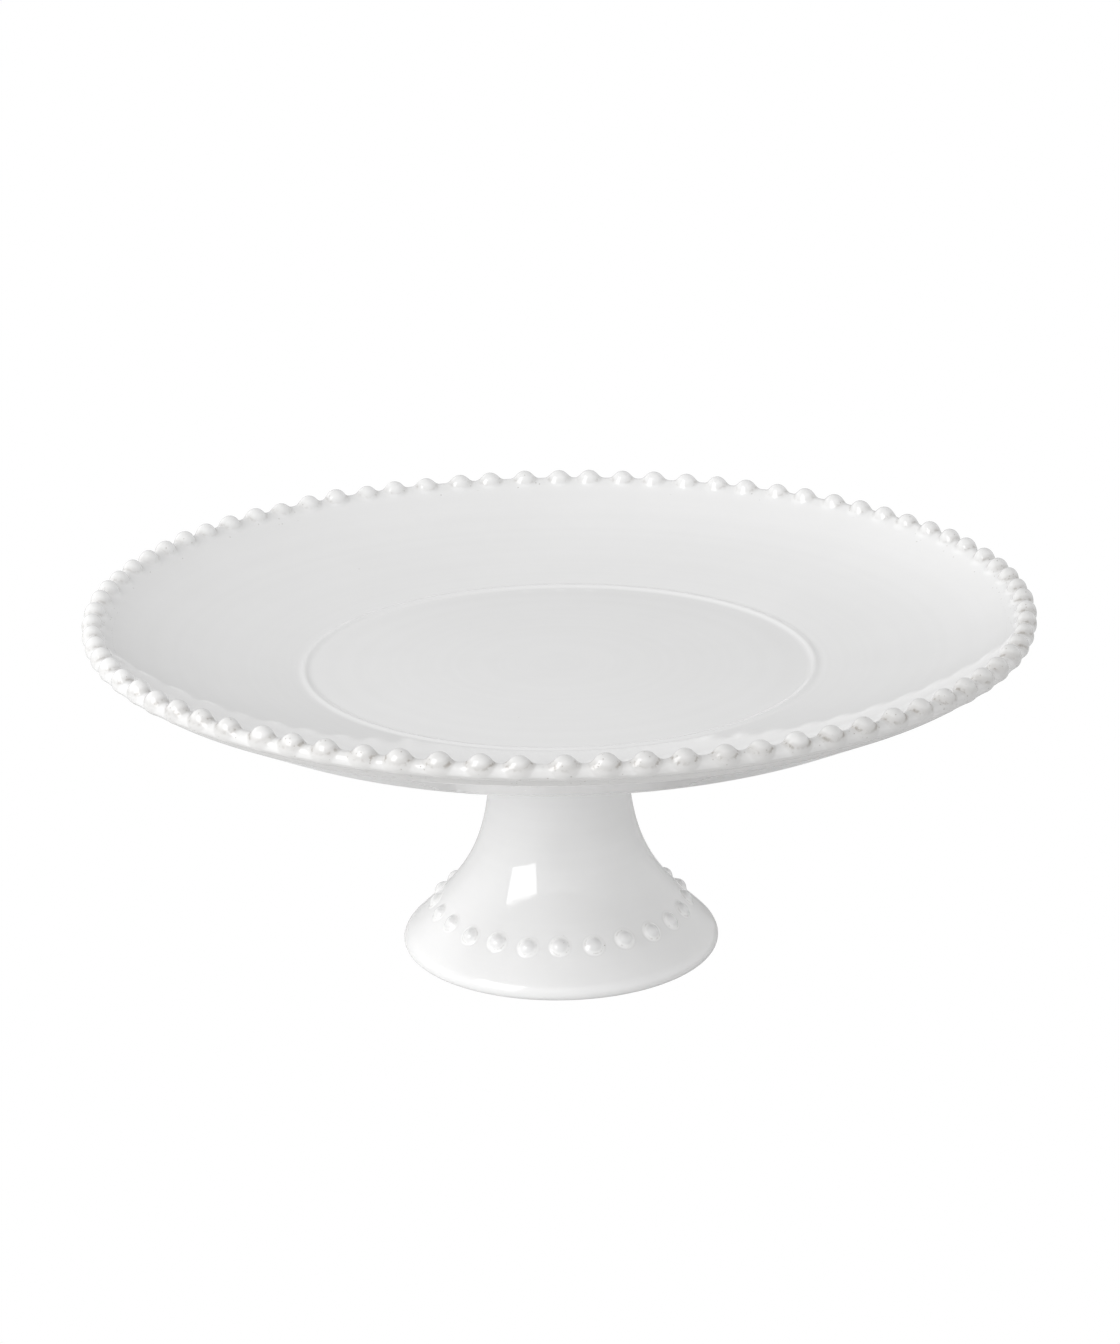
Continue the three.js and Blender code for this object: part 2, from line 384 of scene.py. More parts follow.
# %% [markdown]
# ## The surface of the rim
# Now the strip's profile, the columns and the seeded pearls come together. Each point only moves out along
# its own normal, so neighbouring points stay neighbours and the mesh stays clean, wherever the pearls fall.

# %% Pearl rim
RIM_FILL, LIP_SWELL, SWELL_FADE = 2.2, 0.6, 1.5


def rim_points():
    """Lip points moved out along their normals to where the smooth minimum of lip and pearl distance is
    nought. The lip's distance is less by its swell, a cosine round the rim that fades towards the crease
    and the top."""
    angle, pearl, turn = rim_columns()
    profile, normal = rim_profile()
    half_sizes = [half * pearl_size[pearl] for half in RIM_PEARL_SIZES]
    lip_side = np.clip((profile[:, 1:] - crease[1]) / SWELL_FADE, 0, 1) * np.clip(normal[:, :1], 0, 1)
    swell = LIP_SWELL * lip_side * (0.5 + 0.5 * np.cos(RIM_PEARLS * turn))

    def moved(out):
        """Radius and height of each point at a distance out from the lip."""
        return profile[:, :1] + out * normal[:, :1], profile[:, 1:] + out * normal[:, 1:]

    def distance(out):
        """Distance from the surface of lip and pearls there, and how much the two blend."""
        radius, height = moved(out)
        above_pearl = height - PEARL_HEIGHT - pearl_lift[pearl]
        parts = radius * np.cos(turn) - PEARL_CIRCLE, radius * np.sin(turn), above_pearl
        return smooth_minimum(out - swell, oval_distance(parts, half_sizes), RIM_FILL)

    out = way_out(distance, (len(profile), len(angle)), 9.0)
    radius, height = moved(out)
    return np.stack([radius * np.cos(angle), radius * np.sin(angle), height], -1), distance(out)[1]


rim, rim_crease_nearness = rim_points()
pearl_rim = mesh_from_grid("glazed_pearl_rim", rim, loop_rows=True, crease_values=rim_crease_nearness)
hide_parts("pearl_rim")
print("rim, mm across:", round(2 * np.hypot(rim[..., 0], rim[..., 1]).max(), 1))

# %% [markdown]
# ## The pedestal
# The foot starts as a round edge on a flat ring of bare clay, rolls over into a long flare, narrows to a
# waist, and opens again into a collar under the plate. It is hollow and open below. The inner face is the
# outer one moved in by the thickness of the wall, so only the outer line has to be drawn. The foot was set
# on by eye, so its axis is almost a millimetre to the left of the plate's.

# %% Pedestal line
FOOT_SHIFT = -0.9
foot_edge_centre, foot_edge_radius = np.array([54.6, 2.5]), 2.5
foot_roll_radius, roll_low, roll_high = 7.0, 20, 45
foot_roll_centre = slope_from(foot_edge_centre, roll_low, foot_edge_radius - foot_roll_radius)
flare_foot = slope_from(foot_roll_centre, roll_high, foot_roll_radius)

waist, collar = np.array([25.0, 72.0]), np.array([29.0, 91.5])
halfway_up = (waist[1] + collar[1]) / 2
flare = bezier(flare_foot, (37, 23.8), (waist[0], 35.4), waist, 90)
neck = bezier(waist, (waist[0], halfway_up), (collar[0], halfway_up), collar, 24)
print("foot, mm across:", 2 * (foot_edge_centre[0] + foot_edge_radius), " waist:", 2 * waist[0])

# %% [markdown]
# ## The wall of the pedestal
# A Solidify modifier could give the wall, but a profile that closes on itself shows just where the foot
# ring, the hollow and the collar end. The collar is let a hair into the plate's underside, as clay is when
# it is luted.

# %% Pedestal
wall_thickness, foot_ring_width, ring_edge_radius = 6.0, 7.0, 0.7


def pedestal_profile():
    """Foot ring, round edge, flare, neck and collar, then the same line moved in by the wall, as a closed
    loop."""
    outer = np.concatenate([flare, neck[1:]])
    inner = (outer - wall_thickness * outward(outer))[::-1]
    ring_inside = np.array([foot_edge_centre[0] - foot_ring_width, 0.0])
    inner = inner[inner[:, 0] < ring_inside[0] - 0.6]
    bore, collar_foot, seat = collar[0] - wall_thickness, collar[1] + 1, underside_height + 0.2
    return np.concatenate([
        arc(ring_inside + ring_edge_radius, ring_edge_radius, -180, -90, 5),
        line(ring_inside + [1.5, 0], foot_edge_centre - [0.6, foot_edge_radius], 6),
        arc(foot_edge_centre, foot_edge_radius, -90, roll_low, 14)[:-1],
        arc(foot_roll_centre, foot_roll_radius, roll_low, roll_high, 12)[:-1],
        outer,
        line((collar[0], collar_foot), (collar[0], seat), 5),
        line((bore, seat), (bore, collar_foot), 5),
        inner,
    ])


pedestal = mesh_from_grid("glazed_pedestal", turned(pedestal_profile(), 288, FOOT_SHIFT), loop_rows=True)
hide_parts("pedestal")

# %% [markdown]
# ## The luting coil
# A roll of soft clay is pressed into the corner between the pedestal and the plate, and wiped hollow with a
# wet finger. Its outer face is a quarter circle that ends flush with both. It is let into both by a hair,
# so that no line of daylight shows.

# %% Luting coil
coil_size, coil_sunk, coil_let_in = 7.0, 0.25, 0.05


def coil_profile():
    """A hollow quarter circle between collar and underside, closed through the clay behind it."""
    corner = np.array([collar[0], underside_height])
    hollow = arc(corner + [coil_size, -coil_size], coil_size, 180, 90, 16) + [-coil_let_in, coil_let_in]
    return np.concatenate([hollow, [corner + [-coil_sunk, coil_sunk], corner - [coil_sunk, coil_size]]])


coil = mesh_from_grid("glazed_luting_coil", turned(coil_profile(), 192, FOOT_SHIFT), loop_rows=True)
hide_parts("luting_coil")

# %% [markdown]
# ## The foot pearls
# Each foot pearl is pressed on to the flare with slip, and the glaze runs round its edge. A pearl is a
# small round patch of the flare's own surface, pushed out by the same smooth minimum as the rim, so its
# skirt runs into the flare with no crease. The patch's edge dips a few hundredths of a millimetre into the
# flare, and its back is closed inside the wall. Each pearl stays a piece of its own, as on the potter's
# bench.

# %% Foot pearl surface
FOOT_PEARL_HEIGHT, STAND_OUT, SKIRT, FOOT_FILL = 16.0, 1.8, 5.4, 1.2
EDGE_DIP, BACK_DEPTH = 0.04, 1.2
flare_along = np.cumsum(np.r_[0, np.linalg.norm(np.diff(flare, axis=0), axis=1)])
flare_normal = outward(flare)


def on_flare(place):
    """Radius and height of the flare at a distance along it, and the same two parts of its normal."""
    point = [np.interp(place, flare_along, flare[:, part]) for part in (0, 1)]
    normal = [np.interp(place, flare_along, flare_normal[:, part]) for part in (0, 1)]
    return point, normal


def foot_pearl_points(turn, size, lift):
    """Rings round a pearl on the flare: each point of the flare moves out to where the smooth minimum of
    the distances to the flare and to the ball is nought. The last rows dip below the flare and close the
    back."""
    at = np.interp(FOOT_PEARL_HEIGHT + lift, flare[:, 1], flare_along)
    seat, way = on_flare(at)
    ball = [seat[part] + (STAND_OUT - size) * way[part] for part in (0, 1)]
    ring = SKIRT * np.sin(np.linspace(0, math.pi / 2, 26))[:, None]
    spin = np.linspace(0, 2 * math.pi, 56, endpoint=False)
    base, square = on_flare(at + ring * np.sin(spin))
    angle = ring * np.cos(spin) / seat[0]

    def moved(out):
        """Radius and height of each point at a distance out from the flare."""
        return base[0] + out * square[0], base[1] + out * square[1]

    def distance(out):
        """Distance from the surface of flare and ball there, and how much the two blend."""
        radius, height = moved(out)
        reach = radius * np.cos(angle) - ball[0]
        to_ball = np.sqrt(reach**2 + (radius * np.sin(angle)) ** 2 + (height - ball[1]) ** 2) - size
        return smooth_minimum(out, to_ball, FOOT_FILL)

    def placed(out):
        """Points at a distance out from the flare, at the pearl's own place round the foot."""
        radius, height = moved(out)
        facing = angle + turn
        return np.stack([FOOT_SHIFT + radius * np.cos(facing), radius * np.sin(facing), height], -1)

    out = way_out(distance, angle.shape, 6.0)
    pool = distance(out)[1]
    dip = EDGE_DIP * np.clip((ring / SKIRT - 0.8) / 0.2, 0, 1) ** 2
    back_edge = placed(0 * out - BACK_DEPTH)[-1:]
    back = back_edge.mean(axis=1, keepdims=True) + 0 * back_edge
    points = np.concatenate([placed(out - dip), back_edge, back])
    crease_values = np.concatenate([pool, pool[-1:], pool[-1:]])
    return points[::-1], crease_values[::-1]


# %% [markdown]
# ## The ring of foot pearls
# Copies of one pearl would look cast. Each is made afresh instead, with its own small turn, size and lift.

# %% Foot pearls
FOOT_PEARLS, FOOT_PEARL_RADIUS = 24, 3.4
foot_draw = np.random.default_rng(24)
foot_pearls = []
for number in range(1, FOOT_PEARLS + 1):
    turn = 2 * math.pi * (number - 1) / FOOT_PEARLS + math.radians(foot_draw.normal(0, 0.25))
    size, lift = FOOT_PEARL_RADIUS * (1 + foot_draw.normal(0, 0.02)), foot_draw.normal(0, 0.2)
    points, pool = foot_pearl_points(turn, size, lift)
    pearl = mesh_from_grid(f"glazed_foot_pearl_{number:02d}", points, loop_rows=False, crease_values=pool)
    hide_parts(f"foot_pearl_{number:02d}")
    foot_pearls.append(pearl)

# %% [markdown]
# ## Nodes by name
# A material is a small graph, and a graph written out link by link is hard to read. This helper adds one
# node and fills its sockets in one call. A socket's value may be a number or another node's output, so a
# chain of effects reads from the inside out, like a formula.

# %% Node helpers
def fill(tree, socket, value):
    """Links the socket to another node's output, or sets it to a number or colour."""
    if isinstance(value, bpy.types.NodeSocket):
        tree.links.new(value, socket)
    else:
        socket.default_value = value


def node(tree, kind, inputs=(), **settings):
    """Adds a shader node, applies its settings, fills its inputs, and returns its outputs."""
    made = tree.nodes.new("ShaderNode" + kind)
    for setting, value in settings.items():
        setattr(made, setting, value)
    for socket, value in dict(inputs).items():
        fill(tree, made.inputs[socket], value)
    return made.outputs


def math_node(tree, operation, *values):
    """One sum on single numbers."""
    return node(tree, "Math", dict(enumerate(values)), operation=operation)[0]


def ramp(tree, value, start, stop, low=0.0, high=1.0):
    """Eases from low to high as the value goes from start to stop, and holds outside them."""
    inputs = {"Value": value, "From Min": start, "From Max": stop, "To Min": low, "To Max": high}
    return node(tree, "MapRange", inputs, interpolation_type="SMOOTHSTEP")[0]


def noise(tree, place, per_metre, detail, **inputs):
    """Blender's noise, from nought to one, with a number of lumps to the metre."""
    return node(tree, "TexNoise", {"Vector": place, "Scale": per_metre, "Detail": detail, **inputs})[0]


def mix_colours(tree, amount, first, second):
    """Mixes two colours by an amount from nought to one."""
    return node(tree, "Mix", {0: amount, 6: first, 7: second}, data_type="RGBA")[2]


# %% [markdown]
# ## Node groups
# An effect that several materials share is a group, built once. Its sockets have names, as a function's
# arguments have, and only masks, values and heights come out of it. Two helpers open and close a group, and
# a third places it in a material with that material's own values.

# %% Group helpers
def start_group(name, inputs, outputs):
    """A shader group. inputs are (name, kind, default) and outputs are (name, kind)."""
    tree = bpy.data.node_groups.new(name, "ShaderNodeTree")
    for label, kind, default in inputs:
        socket = tree.interface.new_socket(label, in_out="INPUT", socket_type="NodeSocket" + kind)
        socket.default_value = default
    for label, kind in outputs:
        tree.interface.new_socket(label, in_out="OUTPUT", socket_type="NodeSocket" + kind)
    return tree, tree.nodes.new("NodeGroupInput").outputs


def end_group(tree, **results):
    """Links a group's results to its outputs of the same names."""
    ends = tree.nodes.new("NodeGroupOutput").inputs
    for label, result in results.items():
        tree.links.new(result, ends[label])
    print(f"group {tree.name}: {len(tree.nodes)} nodes, gives {', '.join(results)}")


def use_group(tree, group, **values):
    """Places a group in a material. Underscores in a value's name stand for spaces in the socket's."""
    made = tree.nodes.new("ShaderNodeGroup")
    made.node_tree = group
    for label, value in values.items():
        fill(tree, made.inputs[label.replace("_", " ").capitalize()], value)
    return made.outputs


# %% [markdown]
# ## Pinholes
# Gas leaves the clay while the glaze is still soft, and some of the bubbles stay open as pits with a brown
# floor. They could be scattered as little dents in the mesh, but thousands of them would cost far more
# faces than the stand itself. A Voronoi texture gives every cell a centre and a random colour, so a few
# cells can be picked by their colour, and the distance from the centre makes the pit. The mask then serves
# both colour and relief.

# %% Pinhole group
pinholes, given = start_group(
    "pinholes",
    [("Place", "Vector", (0, 0, 0)), ("Per metre", "Float", 800.0), ("Share", "Float", 0.1),
     ("Radius", "Float", 0.3)],
    [("Mask", "Float")],
)
ragged_depth, floor_share = 0.16, 0.55
cells = node(pinholes, "TexVoronoi", {"Vector": given["Place"], "Scale": given["Per metre"]})
lot = node(pinholes, "SeparateColor", {"Color": cells["Color"]})[0]
picked = math_node(pinholes, "LESS_THAN", lot, given["Share"])
ragged = noise(pinholes, given["Place"], per_metre=2600.0, detail=1.0)
edge = math_node(pinholes, "MULTIPLY_ADD", ragged, ragged_depth, cells["Distance"])
pit = ramp(pinholes, edge, given["Radius"], math_node(pinholes, "MULTIPLY", given["Radius"], floor_share))
end_group(pinholes, Mask=math_node(pinholes, "MULTIPLY", pit, picked))

# %% [markdown]
# ## The skin of the glaze
# A fired glaze is never flat. It has a fine orange-peel ripple, slow swells where it ran, and the rings of
# the potter's fingers show through it. The ripple and the swells are two noises. The rings are a noise of
# one number only, the distance along the piece's line, so they stay level all the way round. Their heights
# are in millimetres and are added up for one Bump node. The group also gives two masks: a slow cloud, by
# which each material lets its glaze lie thicker and thinner, and the bands that the rings make.

# %% Glaze skin group
glaze_skin, given = start_group(
    "glaze_skin",
    [("Place", "Vector", (0, 0, 0)), ("Along", "Float", 0.0), ("Ripple", "Float", 0.002),
     ("Swell", "Float", 0.03), ("Rings", "Float", 0.01)],
    [("Height", "Float"), ("Cloud", "Float"), ("Band", "Float")],
)
ripple = noise(glaze_skin, given["Place"], per_metre=420.0, detail=2.0)
swell = noise(glaze_skin, given["Place"], per_metre=75.0, detail=2.0, Roughness=0.4)
on_line = {"W": given["Along"], "Scale": 190.0, "Detail": 3.0}
rings = node(glaze_skin, "TexNoise", on_line, noise_dimensions="1D")[0]
height = math_node(glaze_skin, "MULTIPLY", ripple, given["Ripple"])
height = math_node(glaze_skin, "MULTIPLY_ADD", swell, given["Swell"], height)
height = math_node(glaze_skin, "MULTIPLY_ADD", rings, given["Rings"], height)
cloud = noise(glaze_skin, given["Place"], per_metre=22.0, detail=4.0, Roughness=0.6)
band = ramp(glaze_skin, rings, start=0.35, stop=0.65)
end_group(glaze_skin, Height=height, Cloud=cloud, Band=band)

# %% [markdown]
# ## Crease lines and painted shade
# In the crease round each pearl a grey-brown line comes and goes, partly pooled glaze that crawls back from
# the clay in places and partly painted shade in the crease, with a wider halo round it. The mesh already
# knows how near each point is to such a crease, as a value on each point, so the group only has to sharpen
# that value and break the line up with a noise. What the halo does is up to the material: on the rim it is
# painted shade, on the foot pearls painted light.

# %% Crease group
crease_shading, given = start_group(
    "crease_shading",
    [("Place", "Vector", (0, 0, 0)), ("Pool", "Float", 0.0)],
    [("Line", "Float"), ("Halo", "Float")],
)
crawled = noise(crease_shading, given["Place"], per_metre=520.0, detail=4.0)
patches = ramp(crease_shading, crawled, start=0.46, stop=0.6)
deepest = ramp(crease_shading, given["Pool"], start=0.55, stop=0.98)
halo = ramp(crease_shading, given["Pool"], start=0.1, stop=0.7)
end_group(crease_shading, Line=math_node(crease_shading, "MULTIPLY", deepest, patches), Halo=halo)

# %% [markdown]
# ## How the glaze lies
# Creases, pits and thin glaze are strongest in front, a little to the right, and weaker behind, so the rim
# and the foot pearls are also a little darker in front. These effects need the piece's own coordinates, so
# they are plain functions that add their nodes to the material.

# %% Glaze effects
PITS_PER_METRE, PIT_RADIUS = 700.0, 0.3
CLOUD_LOW, CLOUD_HIGH = 0.3, 0.7


def stronger_in_front(tree, apart):
    """How strong the effects are: from 0.4 behind to 1 in front, along 0.4 X - Y in metres."""
    towards = math_node(tree, "SUBTRACT", math_node(tree, "MULTIPLY", apart["X"], 0.4), apart["Y"])
    return ramp(tree, towards, start=-0.1, stop=0.17, low=0.4, high=1.0)


def pinhole_mask(tree, place, cloud, in_front, share):
    """Pinholes in a share of the cells, from 0.3 to 2.5 times that share with the cloud, and fewer
    behind."""
    times = ramp(tree, cloud, start=0.4, stop=0.65, low=0.3, high=2.5)
    share = math_node(tree, "MULTIPLY", math_node(tree, "MULTIPLY", times, share), in_front)
    pits = use_group(tree, pinholes, place=place, per_metre=PITS_PER_METRE, share=share, radius=PIT_RADIUS)
    return pits["Mask"]


def thinness(tree, skin, thin, bands):
    """How thin the glaze lies: from the first to the second value of thin with the cloud, and bands times
    the rings."""
    clouded = ramp(tree, skin["Cloud"], CLOUD_LOW, CLOUD_HIGH, *thin)
    return math_node(tree, "MULTIPLY_ADD", skin["Band"], bands, clouded)


def painted_underside_shade(tree, amount):
    """Painted shade on faces that look down: eased from nought to amount as the normal's Z goes from -0.25
    to -0.6."""
    looks_up = node(tree, "SeparateXYZ", {"Vector": node(tree, "NewGeometry")["Normal"]})["Z"]
    return ramp(tree, looks_up, start=-0.25, stop=-0.6, low=0.0, high=amount)


# %% [markdown]
# ## The joint and the foot ring
# The rim's glaze is the plate's own at the joint between them, and turns into the rim's over three
# millimetres, so that no seam shows. The crease lines there, partly pooled glaze and partly painted shade,
# are dark only on the upper side of the pearls.
# On the foot ring the glaze was wiped off before firing, so the bare clay shows, matt and sandy.

# %% Joint and foot ring
# the grey of thin glaze also serves as painted shade under the plate and round the rim pearls
THIN_GLAZE_AND_SHADE, CLAY = (0.62, 0.615, 0.608, 1), (0.56, 0.49, 0.41, 1)
PLATE_THIN, PLATE_BANDS = (0.13, 0.19), 0.035
FADE_START, FADE_END, CREASE_DARK_START, CREASE_DARK_END = 1.5, 4.5, -1.4, 0.4
CLAY_ROUGHNESS, SAND_HEIGHT = 0.65, 0.08


def from_plate_to_rim(tree, skin, height, radius, thin_and_shade, dark):
    """The thin glaze and painted shade are the plate's own up to FADE_START outside the joint, and the rim's
    from FADE_END outside it. The crease lines and painted shade fade in between two heights above the
    pearls' middles. All four are in mm."""
    from_joint = ramp(tree, radius, (JOINT + FADE_START) * MM, (JOINT + FADE_END) * MM)
    on_plate = thinness(tree, skin, PLATE_THIN, PLATE_BANDS)
    thinner = math_node(tree, "SUBTRACT", thin_and_shade, on_plate)
    # the crease lines and painted shade stay above the pearls' middles
    on_top = ramp(tree, height, (PEARL_HEIGHT + CREASE_DARK_START) * MM, (PEARL_HEIGHT + CREASE_DARK_END) * MM)
    thin_and_shade = math_node(tree, "MULTIPLY_ADD", thinner, from_joint, on_plate)
    return thin_and_shade, math_node(tree, "MULTIPLY", dark, on_top)


def wiped_foot(tree, place, height, bare_below, colour, roughness, relief):
    """Colour, roughness and relief turned into those of sandy clay, from bare_below down to half of it, in
    mm."""
    sand = noise(tree, place, per_metre=1500.0, detail=4.0)
    bare = ramp(tree, height, bare_below * MM, 0.5 * bare_below * MM)
    colour = mix_colours(tree, bare, colour, mix_colours(tree, sand, CLAY, THIN_GLAZE_AND_SHADE))
    roughness = math_node(tree, "MULTIPLY_ADD", bare, CLAY_ROUGHNESS, roughness)
    relief = math_node(tree, "MULTIPLY_ADD", math_node(tree, "MULTIPLY", sand, bare), SAND_HEIGHT, relief)
    return colour, roughness, relief


# %% [markdown]
# ## One recipe for the glaze
# All the pieces wear the same off-white glaze, so there is one recipe, and each piece sets its own amounts.
# The shader stays in the material, and its colour, roughness and normal are worked out from the masks: thin
# glaze lets the grey of the clay through, and pits are dark. The colour also holds painted light and shade:
# painted shade on faces that look down and in the halo round the rim pearls, crease lines that are partly
# pooled glaze and partly painted shade, and a painted lighter ring round each foot pearl.

# %% Glaze recipe
# the second colour is a painted lighter ring round the foot pearls; the third is the dark of the pits, and
# of the crease lines and halos, partly pooled glaze and partly painted shade
WHITE, PAINTED_HALO_LIGHT, DARK_GLAZE_AND_SHADE = (0.835, 0.835, 0.835, 1), (0.93, 0.93, 0.925, 1), (0.36, 0.34, 0.315, 1)
PIT_DEPTH, PIT_DARKNESS, PIT_ROUGHNESS = 0.06, 0.85, 0.3
HALO_DARKNESS = 0.4
GLAZE_IOR, SMOOTHEST, ROUGHEST = 1.6, 0.015, 0.045


def glaze(name, relief_mm, thin, pits_share, along_height=False, bands=0.0, under=0.0, crease_glaze_and_shade=0.0,
          halo_shade=0.0, halo_light=0.0, meets_plate=False, bare_below=None):
    """The glaze as a material. relief_mm is the height of ripple, swells and rings. thin is how thin it
    lies, at the least and at the most, bands how much the rings add to that, and under how much painted
    shade faces that look down get. pits_share is the share of cells with a pinhole. Round the pearls,
    crease_glaze_and_shade is how dark the crease line is, partly pooled glaze and partly painted shade,
    halo_shade how much painted shade the halo round it gets, and halo_light how much painted light makes
    that halo lighter.
    Below bare_below, in mm, the clay is bare. The rings follow the height with along_height, and the radius
    without it."""
    material = bpy.data.materials.new(name)
    material.use_nodes = True
    tree = material.node_tree

    # where the point is, and the masks there
    place = node(tree, "TexCoord")["Object"]
    apart = node(tree, "SeparateXYZ", {"Vector": place})
    flat = node(tree, "CombineXYZ", {"X": apart["X"], "Y": apart["Y"]})[0]
    radius = node(tree, "VectorMath", {0: flat}, operation="LENGTH")["Value"]
    along = apart["Z"] if along_height else radius
    ripple, swell, rings = relief_mm
    skin = use_group(tree, glaze_skin, place=place, along=along, ripple=ripple, swell=swell, rings=rings)
    pool = node(tree, "Attribute", attribute_name="crease_nearness")["Fac"]
    crease_marks = use_group(tree, crease_shading, place=place, pool=pool)
    in_front = stronger_in_front(tree, apart)
    pits = pinhole_mask(tree, place, skin["Cloud"], in_front, pits_share)

    # how thin the glaze lies, the painted shade in the halos, and the crease lines
    thin_and_shade = thinness(tree, skin, thin, bands)
    # painted shade: the halo round the rim pearls turns grey
    thin_and_shade = math_node(tree, "MULTIPLY_ADD", crease_marks["Halo"], halo_shade, thin_and_shade)
    if crease_glaze_and_shade > 0:
        thin_and_shade = math_node(tree, "MULTIPLY", thin_and_shade, in_front)
    dark = math_node(tree, "MULTIPLY", crease_marks["Line"], crease_glaze_and_shade)
    dark = math_node(tree, "MULTIPLY_ADD", crease_marks["Halo"], HALO_DARKNESS * halo_shade, dark)
    dark = math_node(tree, "MULTIPLY", dark, in_front)
    if meets_plate:
        thin_and_shade, dark = from_plate_to_rim(tree, skin, apart["Z"], radius, thin_and_shade, dark)
    # painted shade on faces that look down
    if under > 0:
        thin_and_shade = math_node(tree, "ADD", thin_and_shade, painted_underside_shade(tree, under))

    # colour, roughness and relief
    colour = mix_colours(tree, thin_and_shade, WHITE, THIN_GLAZE_AND_SHADE)
    # painted light: a lighter ring round each foot pearl
    colour = mix_colours(tree, math_node(tree, "MULTIPLY", crease_marks["Halo"], halo_light), colour, PAINTED_HALO_LIGHT)
    colour = mix_colours(tree, dark, colour, DARK_GLAZE_AND_SHADE)
    colour = mix_colours(tree, math_node(tree, "MULTIPLY", pits, PIT_DARKNESS), colour, DARK_GLAZE_AND_SHADE)
    roughness = ramp(tree, skin["Cloud"], CLOUD_LOW, CLOUD_HIGH, SMOOTHEST, ROUGHEST)
    roughness = math_node(tree, "MULTIPLY_ADD", pits, PIT_ROUGHNESS, roughness)
    relief = math_node(tree, "MULTIPLY_ADD", pits, -PIT_DEPTH, skin["Height"])
    if bare_below is not None:
        finish = colour, roughness, relief
        colour, roughness, relief = wiped_foot(tree, place, apart["Z"], bare_below, *finish)

    # the shader
    shader = tree.nodes["Principled BSDF"]
    shader.inputs["IOR"].default_value = GLAZE_IOR
    bump = node(tree, "Bump", {"Height": relief, "Distance": MM, "Strength": 1.0})["Normal"]
    for socket, value in (("Base Color", colour), ("Roughness", roughness), ("Normal", bump)):
        tree.links.new(value, shader.inputs[socket])
    return material


# %% [markdown]
# ## The glaze of each piece
# The glaze doesn't lie the same way on every piece: smooth with faint rings on the plate, lumpy, thin and
# pitted on the rim, with painted shade round its pearls, and runny on the foot, with a painted lighter ring
# round each pearl. Faces of the plate and rim that look down get painted shade. Only these amounts differ,
# so the pieces still look like one pot.

# %% Glaze on each piece
# painted shade on the faces of the plate and rim that look down
UNDERSIDE_SHADE = 0.85
plate_glaze = glaze(
    "plate_glaze", relief_mm=(0.0015, 0.012, 0.008), thin=PLATE_THIN, pits_share=0.0005,
    bands=PLATE_BANDS, under=UNDERSIDE_SHADE,
)
rim_glaze = glaze(
    "rim_glaze", relief_mm=(0.005, 0.1, 0.0), thin=(0.55, 0.95), pits_share=0.2,
    under=UNDERSIDE_SHADE, crease_glaze_and_shade=0.85, halo_shade=0.45, meets_plate=True,
)
pedestal_glaze = glaze(
    "pedestal_glaze", relief_mm=(0.002, 0.025, 0.006), thin=(0.0, 0.08), pits_share=0.0006,
    along_height=True, bands=0.03, bare_below=0.4,
)
coil_glaze = glaze(
    "coil_glaze", relief_mm=(0.002, 0.05, 0.0), thin=(0.0, 0.3), pits_share=0.01, along_height=True,
)
foot_pearl_glaze = glaze(
    "foot_pearl_glaze", relief_mm=(0.004, 0.07, 0.0), thin=(0.0, 0.3), pits_share=0.06,
    along_height=True, crease_glaze_and_shade=0.45, halo_light=0.7,
)
finishes = [
    ([plate], plate_glaze), ([pearl_rim], rim_glaze), ([pedestal], pedestal_glaze), ([coil], coil_glaze),
    (foot_pearls, foot_pearl_glaze),
]
for pieces, finish in finishes:
    for piece in pieces:
        piece.data.materials.append(finish)
    print(f"{finish.name}: {len(finish.node_tree.nodes)} nodes, on {len(pieces)} pieces")

# %% [markdown]
# ## The window
# The stand is white on white, so its shape has to come from soft differences and a few crisp highlights.
# One square area light at the front left is the window. Its power is worked out from the brightness it
# should show, so its size can change and the highlights stay as bright.

# %% Window light
window_distance, window_side, window_radiance = 1.3, 0.75, 3.9
window_way, window_lift, lit_middle = np.array([-0.65, -0.554, 0.522]), 0.03, Vector((0, 0, 0.07))
lamp = bpy.data.lights.new("window", "AREA")
lamp.shape, lamp.size, lamp.energy = "SQUARE", window_side, window_radiance * math.pi * window_side**2
window = bpy.data.objects.new("window", lamp)
bpy.context.scene.collection.objects.link(window)
window.location = window_distance * window_way + [0, 0, window_lift]
window.rotation_euler = (lit_middle - window.location).to_track_quat("-Z", "Y").to_euler()
print("window, watts:", round(lamp.energy, 2))

# %% [markdown]
# ## The walls
# The room is a pale wall with soft glows on it: one high in front, and low ones all round but for straight
# in front and straight behind, and those two gaps draw the darker edges. Each glow is a power of the cosine
# of the angle from its middle, so it has no edge of its own. Walls and floor look plain white to the
# camera, as a lit sweep does, and light the stand as pale card would. Only they use that difference, never
# the stand's own materials.

# %% Walls
def white_to_camera(tree, lit, shown, out):
    """Puts the shader shown where the camera looks straight at the surface, and the shader lit everywhere
    else."""
    chosen = node(tree, "MixShader", {0: node(tree, "LightPath")["Is Camera Ray"], 1: lit, 2: shown})
    tree.links.new(chosen[0], out.inputs["Surface"])


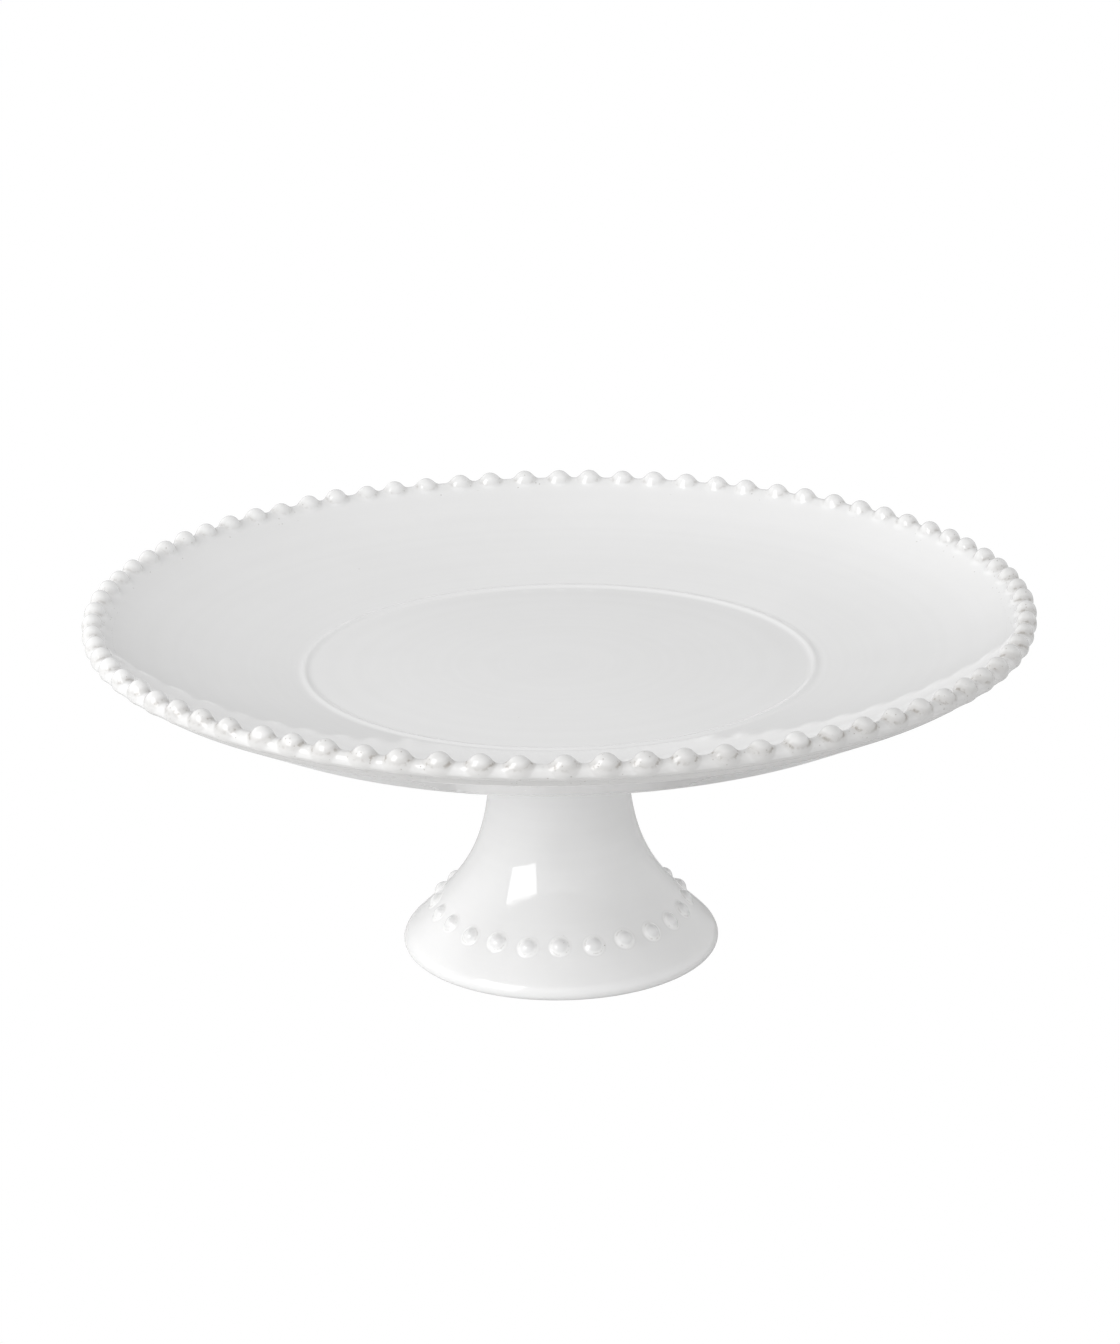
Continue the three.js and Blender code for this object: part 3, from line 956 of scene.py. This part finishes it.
BASE_GLOW, GLOW_POWER = 0.45, 8.0
GLOWS = [
    (-135, 25, 0.85), (-90, 12, 0.75), (-45, 12, 0.7), (0, 45, 0.75),
    (45, 12, 0.6), (90, 12, 0.6), (135, 12, 0.55),
]
world = bpy.data.worlds.new("studio_walls")
bpy.context.scene.world = world
world.use_nodes = True
walls = world.node_tree
facing = node(walls, "TexCoord")["Generated"]
glow = BASE_GLOW
for azimuth, elevation, strength in GLOWS:
    turn, lift = math.radians(azimuth), math.radians(elevation)
    middle = (math.cos(lift) * math.sin(turn), -math.cos(lift) * math.cos(turn), math.sin(lift))
    nearness = node(walls, "VectorMath", {0: facing, 1: middle}, operation="DOT_PRODUCT")["Value"]
    soft = math_node(walls, "POWER", math_node(walls, "MAXIMUM", nearness, 0.0), GLOW_POWER)
    glow = math_node(walls, "MULTIPLY_ADD", soft, strength, glow)
lit = node(walls, "Background", {"Color": glow})[0]
white = node(walls, "Background", {"Color": (1, 1, 1, 1)})[0]
white_to_camera(walls, lit, white, walls.nodes["World Output"])
print("walls:", len(GLOWS), "glows")

# %% [markdown]
# ## The floor
# The floor is a wide ring a tenth of a millimetre under the stand. It is clear from below, and its hole is
# hidden under the foot ring, so that the underside and the hollow of the stand can be looked at from there.

# %% Floor
floor_hole, floor_reach, floor_drop, floor_steps = 54.0, 4000.0, 0.1, 96
floor_edges = np.array([[floor_hole, -floor_drop], [floor_reach, -floor_drop]])
floor_points = turned(floor_edges, floor_steps, FOOT_SHIFT) * MM
inner = np.arange(floor_steps)
following = (inner + 1) % floor_steps
floor_quads = np.stack([inner, inner + floor_steps, following + floor_steps, following], -1)
floor_mesh = bpy.data.meshes.new("floor")
floor_mesh.from_pydata(floor_points.reshape(-1, 3).tolist(), [], floor_quads.tolist())
floor = bpy.data.objects.new("floor", floor_mesh)
bpy.context.scene.collection.objects.link(floor)

sweep = bpy.data.materials.new("white_sweep")
sweep.use_nodes = True
card = sweep.node_tree.nodes["Principled BSDF"]
card.inputs["Base Color"].default_value = (0.82, 0.82, 0.82, 1)
card.inputs["Roughness"].default_value = 0.7
white = node(sweep.node_tree, "Emission", {"Color": (1, 1, 1, 1)})[0]
clear = node(sweep.node_tree, "BsdfTransparent")[0]
from_below = node(sweep.node_tree, "NewGeometry")["Backfacing"]
shown = node(sweep.node_tree, "MixShader", {0: from_below, 1: white, 2: clear})[0]
white_to_camera(sweep.node_tree, card.outputs[0], shown, sweep.node_tree.nodes["Material Output"])
floor_mesh.materials.append(sweep)
bpy.context.scene.view_settings.view_transform = "Standard"
print("floor:", len(floor_mesh.polygons), "faces")
